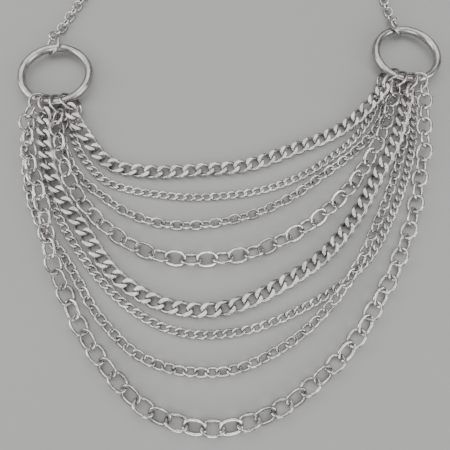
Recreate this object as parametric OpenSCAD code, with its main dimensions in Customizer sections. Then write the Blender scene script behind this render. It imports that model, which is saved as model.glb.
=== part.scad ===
// Layered chain necklace: eight chains of four styles hang as a bib between two large rings.
// Small jump rings join them, and a fine neck chain with a clasp closes the loop behind the neck.
// The necklace lies flat: X runs across the bib, Y toward the neck and Z up from the surface under it.
// Lengths are in millimetres and angles in degrees.

/* [Large rings] */
// Inside diameter of each large ring
ring_bore = 25.4; // [24:0.1:26]
// Wire thickness of each large ring
ring_wire = 3.4; // [2.8:0.1:3.4]

/* [Jump rings] */
// Inside diameter of each jump ring
jump_bore = 7.85; // [7.5:0.05:8.1]
// Wire thickness of each jump ring
jump_wire = 1.15; // [0.8:0.05:1.3]
// Slope of each jump ring where it leans over its large ring
jump_lean = 43; // [40:1:45]

/* [Heavy curb chain] */
// Length of one heavy curb link
heavy_length = 8.2; // [8:0.1:8.4]
// Width of one heavy curb link
heavy_width = 6; // [5:0.1:6.2]
// Wire thickness of the heavy curb links
heavy_wire = 1.35; // [1:0.05:1.4]

/* [Fine curb chain] */
// Width of the fine curb chain
fine_width = 3.6; // [3:0.1:3.8]
// Thickness of the fine curb chain
fine_thickness = 1.7; // [1.4:0.1:1.8]

/* [Large cable chain] */
// Length of one large cable link
large_length = 8.8; // [8.6:0.1:9]
// Width of one large cable link
large_width = 6.7; // [6:0.1:6.8]
// Wire thickness of the large cable links
large_wire = 1.2; // [0.9:0.05:1.25]
// Roll of every second large link to either side
large_roll = 33; // [30:1:40]

/* [Small cable chain] */
// Length of one small cable link
small_length = 5.95; // [5.8:0.05:6.1]
// Width of one small cable link
small_width = 4.4; // [4:0.1:4.5]
// Wire thickness of the small cable links
small_wire = 0.95; // [0.7:0.05:1]
// Roll of every second small link to either side
small_roll = 32; // [28:1:36]

/* [Clasp] */
// Length of the clasp
clasp_length = 13; // [12:0.5:16]
// Width of the clasp
clasp_width = 5; // [4:0.1:6]
// Thickness of the clasp
clasp_thickness = 2.4; // [2:0.1:3]
// Diameter of the eye at each end of the clasp
clasp_eye = 2.6; // [2:0.1:3]
// Thickness of the clasp at its eyes
clasp_tab = 1.2; // [1:0.1:1.4]
// Distance from each eye to the thick middle of the clasp
clasp_margin = 0.7; // [0.5:0.1:0.9]

/* [Hidden] */

// The routes are measured from the point midway between the large rings, and this shift centres the necklace.
shift_x = 0.05;
shift_y = 20.7;
// Large rings: centre of each one and height of their wire above the surface
ring_left_centre = [-77.6, -18.8, 3.6];
ring_right_centre = [77.5, 17.7, 3.6];
ring_radius = (ring_bore + ring_wire) / 2;
ring_facets = 96;
wire_facets = 32;
// Jump rings: radius of the wire's centre line, height of their centres, and how far those stand
// outside the large ring's wire
jump_radius = (jump_bore + jump_wire) / 2;
jump_height = 3.75;
jump_reach = 1.7;
// Each jump ring: large ring's centre, angle round that ring, and side that leans up
JUMPS = [
    ["left_1", ring_left_centre, 262, -1],
    ["left_2", ring_left_centre, 276, -1],
    ["left_3", ring_left_centre, 291.5, -1],
    ["left_4", ring_left_centre, 307, -1],
    ["left_neck", ring_left_centre, 108, -1],
    ["right_1", ring_right_centre, 285.2, 1],
    ["right_2", ring_right_centre, 269, 1],
    ["right_3", ring_right_centre, 252, 1],
    ["right_4", ring_right_centre, 237, 1],
    ["right_neck", ring_right_centre, 108, 1]
];

// Each chain style: link length, link width, wire, closest pitch, rest height, roll to either side, twist,
// and the width and thickness of the band that its links fill
HEAVY = [heavy_length, heavy_width, heavy_wire, heavy_length - 2 * heavy_wire - 0.2, 1.55, 0, -45, 6, 2.7];
FINE = [5.4, fine_width, fine_thickness / 2, 3.5, fine_thickness / 2, 0, -45, fine_width, fine_thickness];
LARGE = [large_length, large_width, large_wire, large_length - 2 * large_wire - 0.2, 2.1, large_roll, 0, 6,
    4.2];
SMALL = [small_length, small_width, small_wire, small_length - 2 * small_wire - 0.2, 1.4, small_roll, 0, 4,
    2.8];

// Each chain: style, start hook, end hook, slack at its hooks, and the points of its route as x, y and lift
// above its rest height. A hook is a jump ring and an angle round it.
CHAINS = [
    [HEAVY, "left_4", -26, "right_4", 36, 0.35, [
        [-63, -41, 2.6], [-57.5, -47, 0.6], [-51.5, -53.3, 0], [-44.5, -57.5, 0], [-32, -58.5, 0],
        [-9, -54.5, 0], [10, -49.5, 0], [28, -39.5, 0], [48, -26.6, 0], [56, -18.5, 0.6],
        [61.5, -11.5, 3.1]]],
    [FINE, "left_4", 30, "right_4", -35, 0.2, [
        [-64.5, -44, 0], [-61, -51, 0], [-53.5, -59.3, 0], [-46.5, -64.5, 0], [-36, -67, 0], [-24, -67.5, 0],
        [-12.5, -67, 0], [-1, -65, 0], [19.5, -58.5, 0], [31, -52, 0], [43, -42.2, 0], [57.3, -25.5, 0],
        [62.2, -16.2, 0]]],
    [SMALL, "left_3", 30, "right_3", -34, 0.3, [
        [-68.3, -46.5, 0], [-65.4, -53, 0], [-61.5, -59, 0], [-55.5, -65.4, 0], [-46.5, -71, 0],
        [-37.5, -76, 0], [-27.5, -79, 0], [-13, -79.5, 0], [2, -76, 0], [17, -69.5, 0], [29.5, -61, 0],
        [40, -51, 0], [54.8, -36, 0], [64.7, -21.8, 0]]],
    [LARGE, "left_3", -15, "right_3", 17, 0.2, [
        [-69.5, -45.5, 3.2], [-66.3, -53.5, 3], [-61.7, -63, 3], [-58, -69, 2.7], [-53.5, -74.5, 0.5],
        [-44, -82.5, 0], [-34, -88.5, 0], [-22, -92.5, 0], [-9, -93, 0], [3, -91, 0], [15.5, -87, 0],
        [26.5, -80.5, 0], [37, -72.5, 0], [45.5, -63.5, 0], [53.5, -53, 0], [60, -41, 0.5], [65, -29, 2.9],
        [68.3, -16, 3.3]]],
    [HEAVY, "left_2", -20, "right_2", 20, 0.35, [
        [-75.3, -46, 2.5], [-72.7, -54, 2.3], [-69.5, -61, 2.1], [-65.9, -67.9, 1.9], [-61.5, -74.5, 1.2],
        [-53.5, -82.5, 0], [-45, -92, 0], [-36, -101, 0], [-25, -107.5, 0], [-14, -111, 0],
        [-3, -111.5, 0], [7.5, -109.5, 0], [17.5, -105, 0], [27, -98.5, 0], [43, -85, 0],
        [55.5, -66.5, 0], [65.7, -44, 0.5], [69.8, -34, 3], [73.2, -22.5, 3.2], [75.6, -12, 3.4]]],
    [FINE, "left_2", 32, "right_1", -32, 0.2, [
        [-75, -48, 0], [-72.3, -62, 0], [-68, -72, 0], [-62.5, -80, 0], [-54, -90.5, 0], [-43, -101.5, 0],
        [-33, -109.5, 0], [-22.5, -115.5, 0], [-12.5, -119, 0], [-2, -120, 0], [8.5, -118.5, 0],
        [17, -116, 0], [27, -111.5, 0], [37.5, -105, 0], [46.5, -98.5, 0], [54.5, -91, 0],
        [62, -82, 0], [69.5, -66.5, 0], [74.5, -53, 0], [78.7, -37.5, 0], [81, -22, 0]]],
    [SMALL, "left_1", 30, "right_2", -34, 0.2, [
        [-82.5, -48, 0], [-79, -62, 0], [-72, -78.5, 0], [-63, -90.5, 0], [-55, -97.5, 0], [-47, -106.5, 0],
        [-39, -116, 0], [-30, -123.5, 0], [-21.5, -129, 0], [-12, -132, 0], [2.5, -132.5, 0], [13, -130.5, 0],
        [24, -125, 0], [33, -118.5, 0], [42, -109.5, 0], [45.8, -104.5, 0.9], [49, -100, 2], [54, -91.5, 2],
        [60, -79, 1.9], [64.3, -68, 0.6], [68.5, -57, 0], [74.2, -37, 0], [76.8, -24, 0], [77.5, -13, 0]]],
    [LARGE, "left_1", -35, "right_1", 32, 0.45, [
        [-81.8, -44.5, 4.3], [-79.3, -52, 3.6], [-76.7, -60.5, 3.2], [-72.3, -68.7, 3], [-68, -76, 3],
        [-63.5, -86, 3.1], [-59.5, -96, 3], [-55, -104.5, 1.9], [-49, -113.5, 0], [-42, -123, 0],
        [-34, -131.5, 0], [-24, -140, 0], [-14, -146.5, 0], [-2, -149.5, 0], [10.5, -149.5, 0],
        [21.5, -146, 0], [33, -139.5, 0], [42.5, -131, 0], [51, -122, 0], [58.5, -111.5, 0],
        [64.5, -100, 0], [70.5, -88, 0], [75, -76, 0], [79, -63, 0], [81.5, -50.5, 0],
        [83.4, -38, 0], [84.5, -30, 1.8], [84, -22, 2.2], [84, -12, 3.4]]]
];
// Neck chain: the points of its whole run from the left jump ring to the right one, with the clasp half way
NECK = [
    [-82.5, 8, 0], [-78, 25, 0], [-72, 45, 0], [-63, 64, 0], [-50.5, 82, 0], [-34, 97, 0], [-15, 106, 0],
    [5, 109.5, 0], [25, 107, 0], [43, 98.5, 0], [56, 84.5, 0], [64, 68, 0], [68.2, 51, 0], [71, 40, 0]
];

// Steps of a route between two of its points
route_steps = 10;
// Sides of a link's wire, steps round a link, and how square a link's ends are
link_sides = 5;
link_steps = 12;
link_power = 2 / 2.3;
// Roll of the plain link that ends a curb chain
end_roll = 45;
// Sides of a fine chain's band, its rings per width, and the room left at a jump ring and at the clasp
tube_sides = 8;
band_step = 1.5;
band_room = 1.9;
clasp_room = clasp_length / 2 + 0.4;
// Height of the clasp's underside
clasp_lift = 0.2;

// Points on a smooth curve through the points p
function gaps(p) = [for (i = [0 : len(p) - 2]) norm(p[i + 1] - p[i])];
function headings(p) = [for (i = [0 : len(p) - 2]) (p[i + 1] - p[i]) / norm(p[i + 1] - p[i])];
function middle_tangents(u, d) =
    [for (i = [1 : len(d) - 1]) (u[i - 1] * d[i] + u[i] * d[i - 1]) / (d[i - 1] + d[i])];
function all_tangents(u, m) =
    concat([1.5 * u[0] - 0.5 * m[0]], m, [1.5 * u[len(u) - 1] - 0.5 * m[len(m) - 1]]);
function blend_point(p0, p1, t0, t1, f) =
    (2 * pow(f, 3) - 3 * pow(f, 2) + 1) * p0
    + (pow(f, 3) - 2 * pow(f, 2) + f) * t0
    + (3 * pow(f, 2) - 2 * pow(f, 3)) * p1
    + (pow(f, 3) - pow(f, 2)) * t1;
function smooth_curve(p) =
    let (d = gaps(p), u = headings(p), t = all_tangents(u, middle_tangents(u, d)))
    concat(
        [for (i = [0 : len(d) - 1], k = [0 : route_steps - 1])
            blend_point(p[i], p[i + 1], d[i] * t[i], d[i] * t[i + 1], k / route_steps)],
        [p[len(p) - 1]]);
function floored(curve, low) = [for (c = curve) [c[0], c[1], max(c[2], low)]];

// Distance run at each point of a curve, and the point at a distance
function running(d) = [for (i = 0, s = 0; i <= len(d); s = s + (i < len(d) ? d[i] : 0), i = i + 1) s];
function column(s, curve, axis) = [for (i = [0 : len(s) - 1]) [s[i], curve[i][axis]]];
function table(curve) = let (s = running(gaps(curve)))
    [column(s, curve, 0), column(s, curve, 1), column(s, curve, 2), s[len(s) - 1]];
function looked_up(tab, q) = [lookup(q, tab[0]), lookup(q, tab[1]), lookup(q, tab[2])];
function unit(v) = v / norm(v);
function start_heading(tab) = unit(looked_up(tab, 0.5) - looked_up(tab, 0));
function end_heading(tab) = unit(looked_up(tab, tab[3]) - looked_up(tab, tab[3] - 0.5));
function point_at(tab, q) =
    q < 0 ? looked_up(tab, 0) + q * start_heading(tab)
    : q > tab[3] ? looked_up(tab, tab[3]) + (q - tab[3]) * end_heading(tab)
    : looked_up(tab, q);

// Jump ring: its outward, wire and axis directions, its centre, and a point on its wire's centre line
function jump_of(name) = [for (j = JUMPS) if (j[0] == name) j][0];
function outward(j) = [cos(j[2]), sin(j[2]), 0];
function around(j) = [-sin(j[2]) * cos(jump_lean), cos(j[2]) * cos(jump_lean), j[3] * sin(jump_lean)];
function jump_centre(j) =
    let (p = j[1] + (ring_radius + jump_reach) * outward(j)) [p[0], p[1], jump_height];
function on_jump(j, a) = jump_centre(j) + jump_radius * (cos(a) * outward(j) + sin(a) * around(j));
function along_jump(j, a) = cos(a) * around(j) - sin(a) * outward(j);

// Chain: the curve that it follows, the room that its end links need at a jump ring, and its links' places
function chain_curve(c) =
    let (low = c[0][4],
        run = [for (p = c[6]) [p[0], p[1], low + p[2]]],
        first = on_jump(jump_of(c[1]), c[2]),
        last = on_jump(jump_of(c[3]), c[4]))
    floored(smooth_curve(concat([first], run, [last])), low);
function end_room(c, name, a, heading) =
    let (slope = norm(cross(along_jump(jump_of(name), a), heading)))
    (c[0][0] - c[0][2]) / 2 - ((jump_wire + c[0][2]) / 2 + c[5]) / slope;
function even_count(c, n) = c[0][5] == 0 || n % 2 == 1 ? n : n + 1;
function link_places(c) =
    let (tab = table(chain_curve(c)),
        room0 = end_room(c, c[1], c[2], start_heading(tab)),
        room1 = end_room(c, c[3], c[4], end_heading(tab)),
        span = tab[3] - room0 - room1,
        n = even_count(c, ceil(span / c[0][3]) + 1),
        pitch = span / (n - 1))
    [for (i = [0 : n - 1])
        let (q = room0 + i * pitch,
            back = point_at(tab, q - pitch / 2),
            front = point_at(tab, q + pitch / 2),
            curb_roll = i == n - 1 ? end_roll : 0,
            roll = c[0][5] == 0 ? curb_roll : c[0][5] * (i % 2 == 0 ? 1 : -1))
        [point_at(tab, q) / 2 + (back + front) / 4, unit(front - back), roll]];
// Neck chain: its curve as a table of distance and place
neck_table =
    let (run = [for (p = NECK) [p[0], p[1], SMALL[4] + p[2]]],
        first = on_jump(jump_of("left_neck"), 0),
        last = on_jump(jump_of("right_neck"), 0))
    table(floored(smooth_curve(concat([first], run, [last])), SMALL[4]));
// Axes of a link: along the chain, across it and up, turned by its roll
function across(t) = unit(cross([0, 0, 1], t));
function rolled_across(t, r) = cos(r) * across(t) + sin(r) * cross(t, across(t));
function rolled_up(t, r) = cos(r) * cross(t, across(t)) - sin(r) * across(t);

// Loop of one link: centre line with squared ends, twisted along its length
function squared(v) = sign(v) * pow(abs(v), link_power);
function loop_point(s, twist, a) =
    let (x = squared(cos(a)), y = (s[1] - s[2]) / 2 * squared(sin(a)))
    [(s[0] - s[2]) / 2 * x, y * cos(twist * x), y * sin(twist * x)];
function loop_points(s, twist) = [for (k = [0 : link_steps - 1]) loop_point(s, twist, 360 * k / link_steps)];
function loop_ring(p, k, s) =
    let (n = len(p),
        t = unit(p[(k + 1) % n] - p[(k + n - 1) % n]),
        flat = unit(p[k] - (p[k] * t) * t),
        out = k % (n / 2) == 0 ? unit([p[k][0], 0, 0]) : flat,
        side = unit(out - (out * t) * t),
        lift = cross(t, side))
    [for (j = [0 : link_sides - 1])
        p[k] + s[2] / 2 * (cos(360 * j / link_sides) * side + sin(360 * j / link_sides) * lift)];
function link_points(s, twist) =
    let (p = loop_points(s, twist)) [for (k = [0 : len(p) - 1]) each loop_ring(p, k, s)];
function placed(points, place) =
    let (y = rolled_across(place[1], place[2]), z = rolled_up(place[1], place[2]))
    [for (p = points) place[0] + p[0] * place[1] + p[1] * y + p[2] * z];
function link_faces(first) =
    [for (k = [0 : link_steps - 1], j = [0 : link_sides - 1])
        let (n = (k + 1) % link_steps, m = (j + 1) % link_sides)
        each [
            [first + k * link_sides + j, first + n * link_sides + j, first + k * link_sides + m],
            [first + k * link_sides + m, first + n * link_sides + j, first + n * link_sides + m]]];

// Tube of oval section along a curve
function tube_ring(p, t, w, h) =
    let (y = across(t), z = cross(t, y))
    [for (j = [0 : tube_sides - 1])
        p + w / 2 * cos(360 * (j + 0.5) / tube_sides) * y + h / 2 * sin(360 * (j + 0.5) / tube_sides) * z];
function tube_points(p, w, h) =
    [for (i = [0 : len(p) - 1])
        each tube_ring(p[i], unit(p[min(i + 1, len(p) - 1)] - p[max(i - 1, 0)]), w, h)];
function tube_faces(rings) = concat(
    [[for (j = [0 : tube_sides - 1]) j]],
    [for (i = [0 : rings - 2], j = [0 : tube_sides - 1])
        let (m = (j + 1) % tube_sides)
        each [
            [i * tube_sides + j, (i + 1) * tube_sides + j, i * tube_sides + m],
            [i * tube_sides + m, (i + 1) * tube_sides + j, (i + 1) * tube_sides + m]]],
    [[for (j = [tube_sides - 1 : -1 : 0]) (rings - 1) * tube_sides + j]]);

module large_ring(centre) {
    color("silver")
        translate(centre)
            rotate_extrude($fn = ring_facets)
                translate([ring_radius, 0])
                    circle(d = ring_wire, $fn = wire_facets);
}

module jump_ring(name) {
    j = jump_of(name);
    u = outward(j);
    v = around(j);
    w = cross(u, v);
    c = jump_centre(j);
    color("silver")
        multmatrix([
            [u[0], v[0], w[0], c[0]],
            [u[1], v[1], w[1], c[1]],
            [u[2], v[2], w[2], c[2]],
            [0, 0, 0, 1]])
            rotate_extrude($fn = ring_facets)
                translate([jump_radius, 0])
                    circle(d = jump_wire, $fn = wire_facets);
}

// Curb chain: every link is a closed faceted loop of its own, twisted but for the plain last one
module curb_chain(c) {
    places = link_places(c);
    last = len(places) - 1;
    twisted = link_points(c[0], c[0][6]);
    plain = link_points(c[0], 0);
    color("lightgray")
        polyhedron(
            points = [for (i = [0 : last]) each placed(i == last ? plain : twisted, places[i])],
            faces = [for (i = [0 : last]) each link_faces(i * len(plain))]);
}

// One oval cable link: two half rings and two straight sides
module oval_link(s) {
    straight = (s[0] - s[1]) / 2;
    radius = (s[1] - s[2]) / 2;
    for (turn = [0, 180])
        rotate([0, 0, turn]) {
            translate([straight, 0, 0])
                rotate([0, 0, -90])
                    rotate_extrude(angle = 180, $fn = ring_facets)
                        translate([radius, 0])
                            circle(d = s[2], $fn = wire_facets);
            translate([-straight, radius, 0])
                rotate([0, 90, 0])
                    cylinder(d = s[2], h = 2 * straight, $fn = wire_facets);
        }
}

module cable_chain(c) {
    color("gainsboro")
        for (p = link_places(c)) {
            y = rolled_across(p[1], p[2]);
            z = rolled_up(p[1], p[2]);
            multmatrix([
                [p[1][0], y[0], z[0], p[0][0]],
                [p[1][1], y[1], z[1], p[0][1]],
                [p[1][2], y[2], z[2], p[0][2]],
                [0, 0, 0, 1]])
                oval_link(c[0]);
        }
}

// Fine chain as the solid band that its links fill, with room for a jump ring or the clasp at each end
module fine_band(tab, start, end, w, h) {
    rings = min(80, ceil((end - start) / (band_step * w)) + 1);
    curve = [for (i = [0 : rings - 1]) looked_up(tab, start + (end - start) * i / (rings - 1))];
    color("darkgray")
        polyhedron(points = tube_points(curve, w, h), faces = tube_faces(rings));
}

module fine_chain(c) {
    tab = table(chain_curve(c));
    fine_band(tab, band_room, tab[3] - band_room, c[0][7], c[0][8]);
}

// Half of the neck chain, before the clasp or after it
module neck_chain(half) {
    length = neck_table[3];
    start = half == 0 ? band_room : length / 2 + clasp_room;
    end = half == 0 ? length / 2 - clasp_room : length - band_room;
    fine_band(neck_table, start, end, SMALL[7], SMALL[8]);
}

// Flat clasp with a thinner tab and its eye at each end, level with its upper side
module clasp() {
    half = (clasp_length - clasp_width) / 2;
    body = 2 * (half - clasp_eye / 2 - clasp_margin);
    middle_at = neck_table[3] / 2;
    middle = looked_up(neck_table, middle_at);
    heading = unit(looked_up(neck_table, middle_at + 1) - looked_up(neck_table, middle_at - 1));
    color("silver")
        translate([middle[0], middle[1], clasp_lift])
            rotate([0, 0, atan2(heading[1], heading[0])])
                difference() {
                    union() {
                        translate([-body / 2, -clasp_width / 2, 0])
                            cube([body, clasp_width, clasp_thickness]);
                        translate([-half, -clasp_width / 2, clasp_thickness - clasp_tab])
                            cube([2 * half, clasp_width, clasp_tab]);
                        for (x = [-half, half])
                            translate([x, 0, clasp_thickness - clasp_tab])
                                cylinder(d = clasp_width, h = clasp_tab, $fn = ring_facets);
                    }
                    for (x = [-half, half])
                        translate([x, 0, -1])
                            cylinder(d = clasp_eye, h = clasp_thickness + 2, $fn = wire_facets);
                }
}

// Moves a piece from the rings' midpoint to the centre of the necklace's own box
module centred() {
    translate([shift_x, shift_y, 0])
        children();
}

centred() large_ring(ring_left_centre);  // ring_left
centred() large_ring(ring_right_centre);  // ring_right
centred() jump_ring("left_1");  // jump_left_1
centred() jump_ring("left_2");  // jump_left_2
centred() jump_ring("left_3");  // jump_left_3
centred() jump_ring("left_4");  // jump_left_4
centred() jump_ring("left_neck");  // jump_left_neck
centred() jump_ring("right_1");  // jump_right_1
centred() jump_ring("right_2");  // jump_right_2
centred() jump_ring("right_3");  // jump_right_3
centred() jump_ring("right_4");  // jump_right_4
centred() jump_ring("right_neck");  // jump_right_neck
centred() curb_chain(CHAINS[0]);  // chain_1_heavy_curb
centred() fine_chain(CHAINS[1]);  // chain_2_fine_curb
centred() cable_chain(CHAINS[2]);  // chain_3_small_cable
centred() cable_chain(CHAINS[3]);  // chain_4_large_cable
centred() curb_chain(CHAINS[4]);  // chain_5_heavy_curb
centred() fine_chain(CHAINS[5]);  // chain_6_fine_curb
centred() fine_chain(CHAINS[6]);  // chain_7_small_cable
centred() cable_chain(CHAINS[7]);  // chain_8_large_cable
centred() neck_chain(0);  // neck_chain_left
centred() neck_chain(1);  // neck_chain_right
centred() clasp();
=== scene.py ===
import math

import bmesh
import bpy
from mathutils import Matrix, Vector


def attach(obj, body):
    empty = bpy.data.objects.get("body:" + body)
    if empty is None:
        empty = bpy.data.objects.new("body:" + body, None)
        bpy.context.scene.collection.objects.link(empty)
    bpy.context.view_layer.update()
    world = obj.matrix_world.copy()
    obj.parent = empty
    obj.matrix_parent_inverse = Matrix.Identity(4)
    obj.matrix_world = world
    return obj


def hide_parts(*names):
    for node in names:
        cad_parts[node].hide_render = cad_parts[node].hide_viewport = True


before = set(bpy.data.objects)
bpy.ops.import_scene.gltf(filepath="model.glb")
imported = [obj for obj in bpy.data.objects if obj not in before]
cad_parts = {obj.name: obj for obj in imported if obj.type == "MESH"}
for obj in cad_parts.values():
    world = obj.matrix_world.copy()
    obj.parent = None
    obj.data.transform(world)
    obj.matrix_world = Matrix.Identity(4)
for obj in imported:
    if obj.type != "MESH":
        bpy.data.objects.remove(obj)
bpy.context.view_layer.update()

# Camera
# The photograph looks down on the bib from the front, 70 degrees above the surface, and is turned a little.
# All places are taken from the point midway between the large rings, and ROW_SHIFT moves them to the frame.
ROW_SHIFT = Vector((0.00005, 0.0207, 0))
CAMERA_PLACE = Vector((0.0042, -0.1349, 0.1607))
CAMERA_PITCH = math.radians(20)
CAMERA_ROLL = math.radians(7.5)
SENSOR_WIDTH = 36
FOCAL_SHARE = 430 / 450
CLIP_START = 0.005

camera = bpy.data.objects.new("camera", bpy.data.cameras.new("camera"))
camera.data.sensor_width = SENSOR_WIDTH
camera.data.lens = SENSOR_WIDTH * FOCAL_SHARE
camera.data.clip_start = CLIP_START
camera.matrix_world = (
    Matrix.Translation(CAMERA_PLACE + ROW_SHIFT)
    @ Matrix.Rotation(CAMERA_PITCH, 4, "X")
    @ Matrix.Rotation(CAMERA_ROLL, 4, "Z")
)
bpy.context.scene.collection.objects.link(camera)
bpy.context.scene.camera = camera

# Large rings
# Two stock rings of round steel wire, soldered closed and satin polished. The wire was drawn and then
# tumbled, so fine marks run round each ring.
RING_CENTRES = {
    "left": Vector((-0.0776, -0.0188, 0.0036)),
    "right": Vector((0.0775, 0.0177, 0.0036)),
}
RING_RADIUS = 0.0144
RING_WIRE = 0.0034
RING_STEPS = 144
RING_SIDES = 28
RING_STEEL = {
    "dark": (0.2, 0.194, 0.19, 1), "pale": (0.63, 0.61, 0.6, 1), "contrast": 2.2,
    "mark_scale": 1500, "mark_stretch": 0.004, "mark_dents": 0.3, "mark_depth": 0.0001,
    "cloud_scale": 160, "cloud_share": 0.4,
    "roughness": 0.18, "mark_roughness": 0.14, "cloud_roughness": 0.08,
}


class Feed:
    """A node's output, whose arithmetic adds Math nodes beside it."""

    def __init__(self, bench, socket):
        self.bench = bench
        self.socket = socket

    def worked(self, operation, first, second):
        return self.bench.add("ShaderNodeMath", {"operation": operation}, {0: first, 1: second})

    def __add__(self, other):
        return self.worked("ADD", self, other)

    def __radd__(self, other):
        return self.worked("ADD", other, self)

    def __sub__(self, other):
        return self.worked("SUBTRACT", self, other)

    def __rsub__(self, other):
        return self.worked("SUBTRACT", other, self)

    def __mul__(self, other):
        return self.worked("MULTIPLY", self, other)

    def __rmul__(self, other):
        return self.worked("MULTIPLY", other, self)

    def __truediv__(self, other):
        return self.worked("DIVIDE", self, other)

    def __pow__(self, other):
        return self.worked("POWER", self, other)

    def __gt__(self, other):
        return self.worked("GREATER_THAN", self, other)


class Bench:
    """One node tree, and the one way in which nodes are added to it."""

    def __init__(self, tree):
        self.tree = tree

    def plug(self, value, socket):
        """Gives a socket its value, a link, or each link of a list."""
        if isinstance(value, Feed):
            self.tree.links.new(value.socket, socket)
        elif isinstance(value, list):
            for part in value:
                self.plug(part, socket)
        else:
            socket.default_value = value

    def node(self, kind, settings=None, inputs=None):
        """Adds a node of a kind with its settings, then fills its sockets."""
        node = self.tree.nodes.new(kind)
        for name, value in (settings or {}).items():
            setattr(node, name, value)
        for name, value in (inputs or {}).items():
            self.plug(value, node.inputs[name])
        return node

    def add(self, kind, settings=None, inputs=None, out=0):
        """Adds a node as above and gives one of its outputs."""
        return Feed(self, self.node(kind, settings, inputs).outputs[out])

    def math(self, operation, *values):
        return self.add("ShaderNodeMath", {"operation": operation}, dict(enumerate(values)))

    def vector(self, operation, *values):
        return self.add("ShaderNodeVectorMath", {"operation": operation}, dict(enumerate(values)))

    def scaled(self, value, share):
        return self.add("ShaderNodeVectorMath", {"operation": "SCALE"}, {0: value, "Scale": share})

    def split(self, vector):
        """The three numbers of a vector."""
        parts = self.node("ShaderNodeSeparateXYZ", inputs={0: vector})
        return [Feed(self, socket) for socket in parts.outputs]

    def mixed_colour(self, share, low, high):
        return self.add("ShaderNodeMix", {"data_type": "RGBA"}, {0: share, 6: low, 7: high}, 2)

    def noise(self, place, scale, detail):
        return self.add("ShaderNodeTexNoise", inputs={"Vector": place, "Scale": scale, "Detail": detail})

    def bump(self, height, strength, depth):
        sizes = {"Strength": strength, "Distance": depth}
        return self.add("ShaderNodeBump", inputs={"Height": height, **sizes})


def new_metal(name):
    """A metallic material, with its bench and its shader node."""
    metal = bpy.data.materials.new(name)
    metal.use_nodes = True
    shader = metal.node_tree.nodes["Principled BSDF"]
    shader.inputs["Metallic"].default_value = 1
    return metal, Bench(metal.node_tree), shader


def satin_steel(name, centre, steel):
    """Satin steel with fine marks that run round a ring's centre, and a tone that drifts."""
    metal, bench, shader = new_metal(name)
    place = bench.add("ShaderNodeTexCoord", out="Object")
    x, y, z = bench.split(bench.vector("SUBTRACT", place, centre))
    turn = bench.math("ARCTAN2", y, x)
    reach = (x * x + y * y) ** 0.5
    brushed = bench.add("ShaderNodeCombineXYZ", inputs={0: turn * steel["mark_stretch"], 1: reach, 2: z})
    marks = bench.noise(brushed, steel["mark_scale"], 5)
    cloud = bench.noise(place, steel["cloud_scale"], 3)
    share = steel["cloud_share"]
    tone = 0.5 + steel["contrast"] * (share * cloud + (1 - share) * marks - 0.5)
    bench.plug(bench.mixed_colour(tone, steel["dark"], steel["pale"]), shader.inputs["Base Color"])
    roughness = steel["roughness"] + steel["mark_roughness"] * marks + steel["cloud_roughness"] * cloud
    bench.plug(roughness, shader.inputs["Roughness"])
    bench.plug(bench.bump(marks, steel["mark_dents"], steel["mark_depth"]), shader.inputs["Normal"])
    return metal


def new_tree(name, inputs):
    """A Geometry Nodes tree with named inputs, its bench, and the feeds of those inputs."""
    tree = bpy.data.node_groups.new(name, "GeometryNodeTree")
    tree.interface.new_socket("Start", in_out="INPUT", socket_type="NodeSocketGeometry")
    for label, kind in inputs.items():
        tree.interface.new_socket(label, in_out="INPUT", socket_type=kind)
    tree.interface.new_socket("Made", in_out="OUTPUT", socket_type="NodeSocketGeometry")
    bench = Bench(tree)
    given = bench.node("NodeGroupInput")
    return tree, bench, {label: Feed(bench, given.outputs[label]) for label in ["Start", *inputs]}


def hand_over(bench, geometry, material):
    """Ends a tree with real geometry in its material."""
    real = bench.add("GeometryNodeRealizeInstances", inputs={0: geometry})
    coated = bench.add("GeometryNodeSetMaterial", inputs={"Geometry": real, "Material": material})
    bench.node("NodeGroupOutput", inputs={0: coated})


def made_by(tree, name, start, sizes):
    """A plain mesh piece that a tree makes from a starting mesh and its sizes."""
    piece = bpy.data.objects.new(name, start)
    bpy.context.scene.collection.objects.link(piece)
    modifier = piece.modifiers.new("made", "NODES")
    modifier.node_group = tree
    for item in tree.interface.items_tree:
        if item.name in sizes:
            modifier[item.identifier] = sizes[item.name]
    piece.data.update()
    made = piece.evaluated_get(bpy.context.evaluated_depsgraph_get())
    mesh = bpy.data.meshes.new_from_object(made)
    mesh.name = name
    piece.modifiers.remove(modifier)
    piece.data = mesh
    return piece


def stands_for(piece, node):
    """Puts a piece in the place of its CAD node, which it hides, on the necklace's one body."""
    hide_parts(node)
    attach(piece, "root")


wire_ring, bench, given = new_tree("wire ring", {
    "Radius": "NodeSocketFloat",
    "Wire": "NodeSocketFloat",
    "Start angle": "NodeSocketFloat",
    "Sweep": "NodeSocketFloat",
    "Closed": "NodeSocketBool",
    "Steps": "NodeSocketInt",
    "Sides": "NodeSocketInt",
    "Metal": "NodeSocketMaterial",
})
arc = bench.add("GeometryNodeCurveArc", {"mode": "RADIUS"}, {
    "Resolution": given["Steps"],
    "Radius": given["Radius"],
    "Start Angle": given["Start angle"],
    "Sweep Angle": given["Sweep"],
})
loop = bench.add("GeometryNodeSetSplineCyclic", inputs={"Geometry": arc, "Cyclic": given["Closed"]})
section = bench.add("GeometryNodeCurvePrimitiveCircle", {"mode": "RADIUS"}, {
    "Resolution": given["Sides"],
    "Radius": given["Wire"] / 2,
})
bent = bench.add("GeometryNodeCurveToMesh", inputs={
    "Curve": loop,
    "Profile Curve": section,
    "Fill Caps": True,
})
hand_over(bench, bench.add("GeometryNodeSetShadeSmooth", inputs={"Geometry": bent}), given["Metal"])

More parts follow.
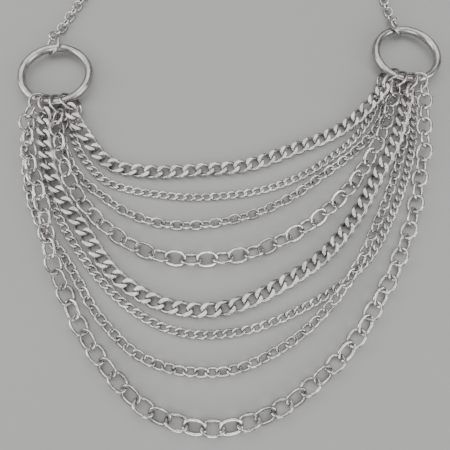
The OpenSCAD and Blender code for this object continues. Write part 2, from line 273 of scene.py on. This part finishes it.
for side, centre in RING_CENTRES.items():
    middle = centre + ROW_SHIFT
    ring = made_by(wire_ring, f"large_ring_{side}", bpy.data.meshes.new("start"), {
        "Radius": RING_RADIUS,
        "Wire": RING_WIRE,
        "Start angle": 0.0,
        "Sweep": math.tau * (1 - 1 / RING_STEPS),
        "Closed": True,
        "Steps": RING_STEPS,
        "Sides": RING_SIDES,
        "Metal": satin_steel(f"satin_steel_{side}", middle, RING_STEEL),
    })
    ring.data.transform(Matrix.Translation(middle))
    stands_for(ring, f"ring_{side}")

# Jump rings
# Round steel wire bent into rings and closed by pliers, with a hairline joint left in each. They lean over
# the large rings, each at its angle round its ring, and every one of the lower eight holds two chains.
JUMP_RADIUS = 0.0045
JUMP_WIRE = 0.00115
JUMP_HEIGHT = 0.00375
JUMP_REACH = 0.0017
JUMP_LEAN = math.radians(43)
JUMP_JOINT = math.radians(1.1)
JUMP_JOINT_AT = math.radians(112)
JUMP_STEPS = 72
JUMP_SIDES = 14
JUMP_STEEL = {
    "dark": (0.22, 0.214, 0.21, 1), "pale": (0.82, 0.795, 0.775, 1), "roughness": 0.12, "scale": 300,
}
POLISH_CONTRAST = 2.6
RUBBED_FINENESS = 6
RUBBED_ROUGHNESS = 0.12
DENT_FINENESS = 4
DENT_STRENGTH = 0.2
DENT_DEPTH = 0.00015
LEAN_SIDES = {"left": -1, "right": 1}
JUMP_ANGLES = {
    "left_1": 262, "left_2": 276, "left_3": 291.5, "left_4": 307, "left_neck": 108,
    "right_1": 285.2, "right_2": 269, "right_3": 252, "right_4": 237, "right_neck": 108,
}


def polished_steel(name, steel):
    """Polished steel whose tone drifts from link to link, finely rubbed and slightly uneven."""
    metal, bench, shader = new_metal(name)
    place = bench.add("ShaderNodeTexCoord", out="Object")
    cloud = bench.noise(place, steel["scale"], 3)
    rubbed = bench.noise(place, RUBBED_FINENESS * steel["scale"], 4)
    uneven = bench.noise(place, DENT_FINENESS * steel["scale"], 1)
    tone = 0.5 + POLISH_CONTRAST * (0.5 * cloud + 0.5 * rubbed - 0.5)
    bench.plug(bench.mixed_colour(tone, steel["dark"], steel["pale"]), shader.inputs["Base Color"])
    bench.plug(steel["roughness"] + RUBBED_ROUGHNESS * rubbed, shader.inputs["Roughness"])
    bench.plug(bench.bump(uneven, DENT_STRENGTH, DENT_DEPTH), shader.inputs["Normal"])
    return metal


def jump_frame(name):
    """A jump ring's centre, its outward direction, and its wire's direction at its outer end."""
    side = name.split("_")[0]
    angle = math.radians(JUMP_ANGLES[name])
    outward = Vector((math.cos(angle), math.sin(angle), 0))
    around = Vector((
        -math.sin(angle) * math.cos(JUMP_LEAN),
        math.cos(angle) * math.cos(JUMP_LEAN),
        LEAN_SIDES[side] * math.sin(JUMP_LEAN),
    ))
    centre = RING_CENTRES[side] + (RING_RADIUS + JUMP_REACH) * outward
    centre.z = JUMP_HEIGHT
    return centre, outward, around


jump_steel = polished_steel("jump_ring_steel", JUMP_STEEL)
for name in JUMP_ANGLES:
    centre, outward, around = jump_frame(name)
    jump = made_by(wire_ring, f"jump_ring_{name}", bpy.data.meshes.new("start"), {
        "Radius": JUMP_RADIUS,
        "Wire": JUMP_WIRE,
        "Start angle": JUMP_JOINT_AT,
        "Sweep": math.tau - JUMP_JOINT,
        "Closed": False,
        "Steps": JUMP_STEPS,
        "Sides": JUMP_SIDES,
        "Metal": jump_steel,
    })
    leaning = Matrix((outward, around, outward.cross(around))).transposed().to_4x4()
    jump.data.transform(Matrix.Translation(centre + ROW_SHIFT) @ leaning)
    stands_for(jump, f"jump_{name}")

# Heavy curb chains, the first and the fifth
# Oval links of stout round wire, each twisted so that the chain lies flat, then pressed and faceted, which
# leaves a pale lens on every link. The last link of each is left untwisted to go through its jump ring.
HEAVY_LINK = {
    "length": 0.0082, "width": 0.0061, "wire": 0.00145, "pitch": 0.0053, "rest": 0.00155,
    "roll": 0, "last_roll": 45, "twist": -45, "last_twist": 0, "face": 0.0011, "steps": 40, "sides": 14,
}
HEAVY_STEEL = {
    "dark": (0.24, 0.232, 0.226, 1), "pale": (0.77, 0.745, 0.725, 1), "roughness": 0.22, "scale": 220,
}
HEAVY_SLACK = 0.00035
FIRST_ROUTE = [
    (-0.063, -0.041, 0.0026), (-0.0575, -0.047, 0.0006), (-0.0515, -0.0533, 0), (-0.0445, -0.0575, 0),
    (-0.032, -0.0585, 0), (-0.009, -0.0545, 0), (0.01, -0.0495, 0), (0.028, -0.0395, 0),
    (0.048, -0.0266, 0), (0.056, -0.0185, 0.0006), (0.0615, -0.0115, 0.0031),
]
FIFTH_ROUTE = [
    (-0.0753, -0.046, 0.0025), (-0.0727, -0.054, 0.0023), (-0.0695, -0.061, 0.0021),
    (-0.0659, -0.0679, 0.0019), (-0.0615, -0.0745, 0.0012), (-0.0535, -0.0825, 0), (-0.045, -0.092, 0),
    (-0.036, -0.101, 0), (-0.025, -0.1075, 0), (-0.014, -0.111, 0), (-0.003, -0.1115, 0),
    (0.0075, -0.1095, 0), (0.0175, -0.105, 0), (0.027, -0.0985, 0), (0.043, -0.085, 0),
    (0.0555, -0.0665, 0), (0.0657, -0.044, 0.0005), (0.0698, -0.034, 0.003), (0.0732, -0.0225, 0.0032),
    (0.0756, -0.012, 0.0034),
]
ROUTE_STEPS = 10
HEADING_REACH = 0.0005
LINK_POWER = 2 / 2.3
LEVEL_NORMAL = 0.999


class Route:
    """The smooth curve that a chain follows, measured along its length."""

    def __init__(self, points, lowest):
        self.points = [Vector((p.x, p.y, max(p.z, lowest))) for p in self.smoothed(points)]
        self.run = [0.0]
        for before, after in zip(self.points, self.points[1:]):
            self.run.append(self.run[-1] + (after - before).length)
        self.length = self.run[-1]
        self.start_heading = (self.at(HEADING_REACH) - self.at(0)).normalized()
        self.end_heading = (self.at(self.length) - self.at(self.length - HEADING_REACH)).normalized()

    @staticmethod
    def smoothed(points):
        """Points on a smooth cubic curve that goes through all the given ones."""
        gaps = [(b - a).length for a, b in zip(points, points[1:])]
        headings = [(b - a) / gap for a, b, gap in zip(points, points[1:], gaps)]
        turns = [
            (headings[i - 1] * gaps[i] + headings[i] * gaps[i - 1]) / (gaps[i - 1] + gaps[i])
            for i in range(1, len(gaps))
        ]
        tangents = [1.5 * headings[0] - 0.5 * turns[0], *turns, 1.5 * headings[-1] - 0.5 * turns[-1]]
        curve = []
        for i, gap in enumerate(gaps):
            for step in range(ROUTE_STEPS):
                f = step / ROUTE_STEPS
                curve.append(
                    (2 * f**3 - 3 * f**2 + 1) * points[i]
                    + (f**3 - 2 * f**2 + f) * gap * tangents[i]
                    + (3 * f**2 - 2 * f**3) * points[i + 1]
                    + (f**3 - f**2) * gap * tangents[i + 1]
                )
        return [*curve, points[-1]]

    def at(self, distance):
        """The place at a distance along the route, or straight on beyond its ends."""
        if distance < 0:
            return self.points[0] + distance * self.start_heading
        if distance >= self.length:
            past = distance - self.length
            return self.points[-1] + (past * self.end_heading if past else Vector())
        i = max(k for k, run in enumerate(self.run) if run <= distance)
        share = (distance - self.run[i]) / (self.run[i + 1] - self.run[i])
        return self.points[i].lerp(self.points[i + 1], share)

    def stretch(self, start, end):
        """The route's points from one distance along it to another."""
        between = [p for p, run in zip(self.points, self.run) if start < run < end]
        return [self.at(start), *between, self.at(end)]


def hook_at(name, angle):
    """A point on a jump ring's wire, at an angle from its outer end, and the wire's direction there."""
    centre, outward, around = jump_frame(name)
    turn = math.radians(angle)
    point = centre + JUMP_RADIUS * (math.cos(turn) * outward + math.sin(turn) * around)
    return point, math.cos(turn) * around - math.sin(turn) * outward


def end_room(link, slack, wire_direction, heading):
    """Distance from a jump ring's wire to the middle of the link that it holds."""
    slope = wire_direction.cross(heading).length
    return (link["length"] - link["wire"]) / 2 - ((JUMP_WIRE + link["wire"]) / 2 + slack) / slope


def link_count(link, span):
    """How many links a span takes, an odd number where they roll in turn, so that both ends roll alike."""
    count = math.ceil(span / link["pitch"]) + 1
    if link["roll"] and count % 2 == 0:
        count += 1
    return count


def line_mesh(points):
    """A mesh of one line through points, moved to the necklace's frame."""
    mesh = bpy.data.meshes.new("line")
    mesh.from_pydata([p + ROW_SHIFT for p in points], [(i, i + 1) for i in range(len(points) - 1)], [])
    return mesh


chain_links, bench, given = new_tree("chain links", {
    "Link length": "NodeSocketFloat",
    "Link width": "NodeSocketFloat",
    "Wire": "NodeSocketFloat",
    "Face height": "NodeSocketFloat",
    "Twist": "NodeSocketFloat",
    "Last twist": "NodeSocketFloat",
    "Roll": "NodeSocketFloat",
    "Last roll": "NodeSocketFloat",
    "Count": "NodeSocketInt",
    "Steps": "NodeSocketInt",
    "Sides": "NodeSocketInt",
    "Metal": "NodeSocketMaterial",
})


def squared(bench, value):
    """The value on a squarer curve than a circle's, with its sign kept."""
    return bench.math("SIGN", value) * bench.math("ABSOLUTE", value) ** LINK_POWER


def bent_link(bench, given, twist):
    """One closed link of round wire: a squared oval, twisted along its length and pressed to its faces."""
    loop = bench.add("GeometryNodeCurvePrimitiveCircle", {"mode": "RADIUS"}, {
        "Resolution": given["Steps"],
        "Radius": 1.0,
    })
    x, y, _ = bench.split(bench.add("GeometryNodeInputPosition"))
    along = squared(bench, x)
    across = squared(bench, y) * (given["Link width"] - given["Wire"]) / 2
    turned = along * twist
    place = bench.add("ShaderNodeCombineXYZ", inputs={
        0: along * (given["Link length"] - given["Wire"]) / 2,
        1: across * bench.math("COSINE", turned),
        2: across * bench.math("SINE", turned),
    })
    centre_line = bench.add("GeometryNodeSetPosition", inputs={"Geometry": loop, "Position": place})
    section = bench.add("GeometryNodeCurvePrimitiveCircle", {"mode": "RADIUS"}, {
        "Resolution": given["Sides"],
        "Radius": given["Wire"] / 2,
    })
    round_link = bench.add("GeometryNodeCurveToMesh", inputs={
        "Curve": centre_line,
        "Profile Curve": section,
    })
    x, y, z = bench.split(bench.add("GeometryNodeInputPosition"))
    not_under = bench.math("MAXIMUM", z, given["Face height"] * -1)
    not_over = bench.math("MINIMUM", not_under, given["Face height"])
    pressed = bench.add("ShaderNodeCombineXYZ", inputs={0: x, 1: y, 2: not_over})
    faced = bench.add("GeometryNodeSetPosition", inputs={"Geometry": round_link, "Position": pressed})
    _, _, facing_up = bench.split(bench.add("GeometryNodeInputNormal"))
    level = bench.math("ABSOLUTE", facing_up) > LEVEL_NORMAL
    return bench.add("GeometryNodeSetShadeSmooth", inputs={"Geometry": faced, "Shade Smooth": 1 - level})


# Every second point of the spaced line is the middle of a link, and those between are where links meet.
line = bench.add("GeometryNodeMeshToCurve", inputs={"Mesh": given["Start"]})
spaced = bench.add("GeometryNodeResampleCurve", inputs={"Curve": line, "Count": given["Count"] * 2 + 1})
index = bench.add("GeometryNodeInputIndex")
spot = bench.add("GeometryNodeInputPosition")
before, after = [
    bench.add("GeometryNodeFieldAtIndex", {"data_type": "FLOAT_VECTOR"}, {
        "Index": index + step,
        "Value": spot,
    })
    for step in (-1, 1)
]
at_link = bench.math("MODULO", index, 2)

# On a bend a link sits half way between the curve and the straight line that joins the points beside it.
own = bench.scaled(spot, 0.5)
ends = bench.scaled(bench.vector("ADD", before, after), 0.25)
seated = bench.add("GeometryNodeSetPosition", inputs={
    "Geometry": spaced,
    "Selection": at_link,
    "Position": bench.vector("ADD", own, ends),
})
heading = bench.vector("SUBTRACT", after, before)
level_across = bench.vector("CROSS_PRODUCT", (0, 0, 1), heading)
facing = bench.add("FunctionNodeAxesToRotation", {"primary_axis": "X", "secondary_axis": "Y"}, {
    "Primary Axis": heading,
    "Secondary Axis": level_across,
})

# The links roll to either side in turn, and the last one has a roll and a twist of its own.
last = index > given["Count"] * 2 - 1.5
number = (index - 1) / 2
swing = 1 - 2 * bench.math("MODULO", number, 2)
roll = swing * given["Roll"] * (1 - last) + last * given["Last roll"]
rolled = bench.add("FunctionNodeRotateRotation", {"rotation_space": "LOCAL"}, {
    "Rotation": facing,
    "Rotate By": bench.add("FunctionNodeEulerToRotation", inputs={
        0: bench.add("ShaderNodeCombineXYZ", inputs={0: roll}),
    }),
})
chain_body = bench.add("GeometryNodeInstanceOnPoints", inputs={
    "Points": seated,
    "Selection": at_link * (1 - last),
    "Instance": bent_link(bench, given, given["Twist"]),
    "Rotation": rolled,
})
chain_end = bench.add("GeometryNodeInstanceOnPoints", inputs={
    "Points": seated,
    "Selection": at_link * last,
    "Instance": bent_link(bench, given, given["Last twist"]),
    "Rotation": rolled,
})
whole_chain = bench.add("GeometryNodeJoinGeometry", inputs={0: [chain_body, chain_end]})
hand_over(bench, whole_chain, given["Metal"])


def strung(name, points, count, link, metal, first_roll=1):
    """A chain of linked links along a line, which runs half a pitch past its first link and its last."""
    return made_by(chain_links, name, line_mesh(points), {
        "Link length": link["length"],
        "Link width": link["width"],
        "Wire": link["wire"],
        "Face height": link["face"],
        "Twist": math.radians(link["twist"]),
        "Last twist": math.radians(link["last_twist"]),
        "Roll": first_roll * math.radians(link["roll"]),
        "Last roll": first_roll * math.radians(link["last_roll"]),
        "Count": count,
        "Steps": link["steps"],
        "Sides": link["sides"],
        "Metal": metal,
    })


def hung_chain(name, link, metal, start, end, slack, points):
    """A whole chain from the jump ring at its start to the one at its end, over the points of its route."""
    first, first_wire = hook_at(*start)
    last, last_wire = hook_at(*end)
    over = [Vector((x, y, link["rest"] + lift)) for x, y, lift in points]
    route = Route([first, *over, last], link["rest"])
    start_room = end_room(link, slack, first_wire, route.start_heading)
    last_room = end_room(link, slack, last_wire, route.end_heading)
    span = route.length - start_room - last_room
    count = link_count(link, span)
    pitch = span / (count - 1)
    line = route.stretch(start_room - pitch / 2, route.length - last_room + pitch / 2)
    return strung(name, line, count, link, metal)


heavy_steel = polished_steel("heavy_curb_steel", HEAVY_STEEL)
chain = hung_chain(
    "heavy_curb_first", HEAVY_LINK, heavy_steel, ("left_4", -26), ("right_4", 36), HEAVY_SLACK, FIRST_ROUTE)
stands_for(chain, "chain_1_heavy_curb")
chain = hung_chain(
    "heavy_curb_fifth", HEAVY_LINK, heavy_steel, ("left_2", -20), ("right_2", 20), HEAVY_SLACK, FIFTH_ROUTE)
stands_for(chain, "chain_5_heavy_curb")

# Fine curb chains, the second and the sixth
# The same twisted and faceted links, bent from thin steel wire and set close, so that each chain looks like
# a flat cord. Both hang from the low side of their jump rings.
FINE_LINK = {
    "length": 0.0054, "width": 0.0036, "wire": 0.00085, "pitch": 0.0035, "rest": 0.00085,
    "roll": 0, "last_roll": 45, "twist": -45, "last_twist": 0, "face": 0.00068, "steps": 16, "sides": 6,
}
FINE_STEEL = {
    "dark": (0.22, 0.214, 0.21, 1), "pale": (0.98, 0.95, 0.93, 1), "roughness": 0.2, "scale": 320,
}
FINE_SLACK = 0.0002
SECOND_ROUTE = [
    (-0.0645, -0.044, 0), (-0.061, -0.051, 0), (-0.0535, -0.0593, 0), (-0.0465, -0.0645, 0),
    (-0.036, -0.067, 0), (-0.024, -0.0675, 0), (-0.0125, -0.067, 0), (-0.001, -0.065, 0),
    (0.0195, -0.0585, 0), (0.031, -0.052, 0), (0.043, -0.0422, 0), (0.0573, -0.0255, 0),
    (0.0622, -0.0162, 0),
]
SIXTH_ROUTE = [
    (-0.075, -0.048, 0), (-0.0723, -0.062, 0), (-0.068, -0.072, 0), (-0.0625, -0.08, 0),
    (-0.054, -0.0905, 0), (-0.043, -0.1015, 0), (-0.033, -0.1095, 0), (-0.0225, -0.1155, 0),
    (-0.0125, -0.119, 0), (-0.002, -0.12, 0), (0.0085, -0.1185, 0), (0.017, -0.116, 0),
    (0.027, -0.1115, 0), (0.0375, -0.105, 0), (0.0465, -0.0985, 0), (0.0545, -0.091, 0),
    (0.062, -0.082, 0), (0.0695, -0.0665, 0), (0.0745, -0.053, 0), (0.0787, -0.0375, 0),
    (0.081, -0.022, 0),
]

fine_steel = polished_steel("fine_curb_steel", FINE_STEEL)
chain = hung_chain(
    "fine_curb_second", FINE_LINK, fine_steel, ("left_4", 30), ("right_4", -35), FINE_SLACK, SECOND_ROUTE)
stands_for(chain, "chain_2_fine_curb")
chain = hung_chain(
    "fine_curb_sixth", FINE_LINK, fine_steel, ("left_2", 32), ("right_1", -32), FINE_SLACK, SIXTH_ROUTE)
stands_for(chain, "chain_6_fine_curb")

# Large cable chains, the fourth and the eighth
# Open oval links of round steel wire, soldered shut and polished bright. Each link turns the other way from
# its neighbours, and both chains hang from the high side of their jump rings.
LARGE_LINK = {
    "length": 0.0088, "width": 0.0067, "wire": 0.0012, "pitch": 0.0062, "rest": 0.0021,
    "roll": 33, "last_roll": 33, "twist": 0, "last_twist": 0, "face": 0.01, "steps": 24, "sides": 10,
}
LARGE_STEEL = {
    "dark": (0.2, 0.194, 0.19, 1), "pale": (0.92, 0.89, 0.87, 1), "roughness": 0.12, "scale": 260,
}
FOURTH_SLACK = 0.0002
EIGHTH_SLACK = 0.00045
FOURTH_ROUTE = [
    (-0.0695, -0.0455, 0.0032), (-0.0663, -0.0535, 0.003), (-0.0617, -0.063, 0.003),
    (-0.058, -0.069, 0.0027), (-0.0535, -0.0745, 0.0005), (-0.044, -0.0825, 0), (-0.034, -0.0885, 0),
    (-0.022, -0.0925, 0), (-0.009, -0.093, 0), (0.003, -0.091, 0), (0.0155, -0.087, 0),
    (0.0265, -0.0805, 0), (0.037, -0.0725, 0), (0.0455, -0.0635, 0), (0.0535, -0.053, 0),
    (0.06, -0.041, 0.0005), (0.065, -0.029, 0.0029), (0.0683, -0.016, 0.0033),
]
EIGHTH_ROUTE = [
    (-0.0818, -0.0445, 0.0043), (-0.0793, -0.052, 0.0036), (-0.0767, -0.0605, 0.0032),
    (-0.0723, -0.0687, 0.003), (-0.068, -0.076, 0.003), (-0.0635, -0.086, 0.0031),
    (-0.0595, -0.096, 0.003), (-0.055, -0.1045, 0.0019), (-0.049, -0.1135, 0), (-0.042, -0.123, 0),
    (-0.034, -0.1315, 0), (-0.024, -0.14, 0), (-0.014, -0.1465, 0), (-0.002, -0.1495, 0),
    (0.0105, -0.1495, 0), (0.0215, -0.146, 0), (0.033, -0.1395, 0), (0.0425, -0.131, 0),
    (0.051, -0.122, 0), (0.0585, -0.1115, 0), (0.0645, -0.1, 0), (0.0705, -0.088, 0), (0.075, -0.076, 0),
    (0.079, -0.063, 0), (0.0815, -0.0505, 0), (0.0834, -0.038, 0), (0.0845, -0.03, 0.0018),
    (0.084, -0.022, 0.0022), (0.084, -0.012, 0.0034),
]

large_steel = polished_steel("large_cable_steel", LARGE_STEEL)
chain = hung_chain(
    "large_cable_fourth", LARGE_LINK, large_steel,
    ("left_3", -15), ("right_3", 17), FOURTH_SLACK, FOURTH_ROUTE)
stands_for(chain, "chain_4_large_cable")
chain = hung_chain(
    "large_cable_eighth", LARGE_LINK, large_steel,
    ("left_1", -35), ("right_1", 32), EIGHTH_SLACK, EIGHTH_ROUTE)
stands_for(chain, "chain_8_large_cable")

# Small cable chains, the third and the seventh
# The cable chain again in a smaller size, of thinner steel wire, soldered shut and polished. Both hang from
# the low side of their jump rings.
SMALL_LINK = {
    "length": 0.00595, "width": 0.0044, "wire": 0.00095, "pitch": 0.00385, "rest": 0.0014,
    "roll": 32, "last_roll": 32, "twist": 0, "last_twist": 0, "face": 0.01, "steps": 14, "sides": 7,
}
SMALL_STEEL = {
    "dark": (0.2, 0.194, 0.19, 1), "pale": (0.95, 0.92, 0.9, 1), "roughness": 0.14, "scale": 340,
}
THIRD_SLACK = 0.0003
SEVENTH_SLACK = 0.0002
THIRD_ROUTE = [
    (-0.0683, -0.0465, 0), (-0.0654, -0.053, 0), (-0.0615, -0.059, 0), (-0.0555, -0.0654, 0),
    (-0.0465, -0.071, 0), (-0.0375, -0.076, 0), (-0.0275, -0.079, 0), (-0.013, -0.0795, 0),
    (0.002, -0.076, 0), (0.017, -0.0695, 0), (0.0295, -0.061, 0), (0.04, -0.051, 0), (0.0548, -0.036, 0),
    (0.0647, -0.0218, 0),
]
SEVENTH_ROUTE = [
    (-0.0825, -0.048, 0), (-0.079, -0.062, 0), (-0.072, -0.0785, 0), (-0.063, -0.0905, 0),
    (-0.055, -0.0975, 0), (-0.047, -0.1065, 0), (-0.039, -0.116, 0), (-0.03, -0.1235, 0),
    (-0.0215, -0.129, 0), (-0.012, -0.132, 0), (0.0025, -0.1325, 0), (0.013, -0.1305, 0),
    (0.024, -0.125, 0), (0.033, -0.1185, 0), (0.042, -0.1095, 0), (0.0458, -0.1045, 0.0009),
    (0.049, -0.1, 0.002), (0.054, -0.0915, 0.002), (0.06, -0.079, 0.0019), (0.0643, -0.068, 0.0006),
    (0.0685, -0.057, 0), (0.0742, -0.037, 0), (0.0768, -0.024, 0), (0.0775, -0.013, 0),
]

small_steel = polished_steel("small_cable_steel", SMALL_STEEL)
chain = hung_chain(
    "small_cable_third", SMALL_LINK, small_steel,
    ("left_3", 30), ("right_3", -34), THIRD_SLACK, THIRD_ROUTE)
stands_for(chain, "chain_3_small_cable")
chain = hung_chain(
    "small_cable_seventh", SMALL_LINK, small_steel,
    ("left_1", 30), ("right_2", -34), SEVENTH_SLACK, SEVENTH_ROUTE)
stands_for(chain, "chain_7_small_cable")

# Neck chain, in two halves
# The small cable chain goes on round the neck, from the upper jump ring of each large ring to the clasp.
# The last link of each half stands steeper and goes through the clasp's eye, which lifts it a little.
NECK_SLACK = 0.0002
NECK_LINK = {**SMALL_LINK, "last_roll": 60}
NECK_ROUTE = [
    (-0.0825, 0.008), (-0.078, 0.025), (-0.072, 0.045), (-0.063, 0.064), (-0.0505, 0.082),
    (-0.034, 0.097), (-0.015, 0.106), (0.005, 0.1095), (0.025, 0.107), (0.043, 0.0985), (0.056, 0.0845),
    (0.064, 0.068), (0.0682, 0.051), (0.071, 0.04),
]
CLASP_LENGTH = 0.013
CLASP_WIDTH = 0.005
EYE_REACH = (CLASP_LENGTH - CLASP_WIDTH) / 2
CLASP_LINK_AT = EYE_REACH + (SMALL_LINK["length"] - SMALL_LINK["wire"]) / 2
CLASP_LINK_LIFT = 0.0009
LIFT_LENGTH = 0.007


def neck_half(name, start, points, first_roll):
    """Half of the neck chain, from its jump ring to the clasp, where its links rise to the clasp's eye."""
    hook, hook_wire = hook_at(start, 0)
    far_hook, _ = hook_at("left_neck" if start == "right_neck" else "right_neck", 0)
    rest = NECK_LINK["rest"]
    route = Route([hook, *[Vector((x, y, rest)) for x, y in points], far_hook], rest)
    start_room = end_room(NECK_LINK, NECK_SLACK, hook_wire, route.start_heading)
    end = route.length / 2 - CLASP_LINK_AT
    span = end - start_room
    count = link_count(NECK_LINK, span)
    pitch = span / (count - 1)
    line = route.stretch(start_room - pitch / 2, end + pitch / 2)
    tip = line[-1].copy()
    for point in line:
        rise = max(0, 1 - (point - tip).length / LIFT_LENGTH)
        point.z += CLASP_LINK_LIFT * rise
    return strung(name, line, count, NECK_LINK, small_steel, first_roll)


left_half = neck_half("neck_cable_left", "left_neck", NECK_ROUTE, 1)
stands_for(left_half, "neck_chain_left")
right_half = neck_half("neck_cable_right", "right_neck", NECK_ROUTE[::-1], -1)
stands_for(right_half, "neck_chain_right")

# Clasp
# One plain cast steel body with an eye at each end, for the last link of each half of the neck chain. It was
# tumbled, so its edges are soft and its faces are a little uneven.
CLASP_STEEL = {
    "dark": (0.56, 0.545, 0.535, 1), "pale": (0.7, 0.68, 0.665, 1), "roughness": 0.2, "scale": 300,
}
CLASP_EDGE = 0.0004
CLASP_EDGE_STEPS = 3
CLASP_SHARP = math.radians(50)
CLASP_FLAT = math.radians(1)
CLASP_MERGE = 0.000005

clasp_steel = polished_steel("clasp_steel", CLASP_STEEL)
clasp_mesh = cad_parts["clasp"].data.copy()
clasp_form = bmesh.new()
clasp_form.from_mesh(clasp_mesh)
bmesh.ops.remove_doubles(clasp_form, verts=clasp_form.verts, dist=CLASP_MERGE)
bmesh.ops.dissolve_limit(
    clasp_form, angle_limit=CLASP_FLAT, verts=clasp_form.verts, edges=clasp_form.edges)
clasp_form.to_mesh(clasp_mesh)
clasp_form.free()
clasp_mesh.materials.clear()
clasp_mesh.materials.append(clasp_steel)
clasp_body = bpy.data.objects.new("clasp_body", clasp_mesh)
bpy.context.scene.collection.objects.link(clasp_body)
soft_edge = clasp_body.modifiers.new("soft edge", "BEVEL")
soft_edge.width = CLASP_EDGE
soft_edge.segments = CLASP_EDGE_STEPS
soft_edge.limit_method = "ANGLE"
soft_edge.angle_limit = CLASP_SHARP
stands_for(clasp_body, "clasp")

# Floor and light
# A plain pale floor of matt paper, one large soft lamp above and behind, and three weaker ones that stand
# low at the left, at the right and in front, so that every link shows a light line along its wire.
FLOOR_HALF = 0.9
FLOOR_PALE = (0.33, 0.33, 0.326, 1)
FLOOR_DARK = (0.31, 0.31, 0.305, 1)
FLOOR_CLOUD = 6
FLOOR_ROUGHNESS = 0.8
WORLD_GREY = (0.5, 0.5, 0.5, 1)
WORLD_STRENGTH = 0.6
LAMPS = {
    "soft lamp above": {"place": (-0.1, 0.25, 0.9), "size": 1.4, "power": 11.5},
    "soft lamp left": {"place": (-0.85, -0.1, 0.42), "size": 0.6, "power": 4.5},
    "soft lamp right": {"place": (0.85, -0.2, 0.42), "size": 0.6, "power": 4.5},
    "soft lamp front": {"place": (0.1, -0.9, 0.4), "size": 0.6, "power": 4.0},
}

floor_mesh = bpy.data.meshes.new("floor")
corners = [(x * FLOOR_HALF, y * FLOOR_HALF, 0) for x, y in ((-1, -1), (1, -1), (1, 1), (-1, 1))]
floor_mesh.from_pydata(corners, [], [(0, 1, 2, 3)])
floor = bpy.data.objects.new("floor", floor_mesh)
bpy.context.scene.collection.objects.link(floor)
paper = bpy.data.materials.new("pale_paper")
paper.use_nodes = True
bench = Bench(paper.node_tree)
paper_shader = paper.node_tree.nodes["Principled BSDF"]
paper_shader.inputs["Roughness"].default_value = FLOOR_ROUGHNESS
spread = bench.noise(bench.add("ShaderNodeTexCoord", out="Object"), FLOOR_CLOUD, 2)
bench.plug(bench.mixed_colour(spread, FLOOR_DARK, FLOOR_PALE), paper_shader.inputs["Base Color"])
floor_mesh.materials.append(paper)

for name, facts in LAMPS.items():
    lamp = bpy.data.objects.new(name, bpy.data.lights.new(name, "AREA"))
    lamp.data.size = facts["size"]
    lamp.data.energy = facts["power"]
    lamp.location = facts["place"]
    lamp.rotation_euler = (-lamp.location).to_track_quat("-Z", "Y").to_euler()
    bpy.context.scene.collection.objects.link(lamp)

world = bpy.data.worlds.new("studio")
world.use_nodes = True
world.node_tree.nodes["Background"].inputs["Color"].default_value = WORLD_GREY
world.node_tree.nodes["Background"].inputs["Strength"].default_value = WORLD_STRENGTH
bpy.context.scene.world = world
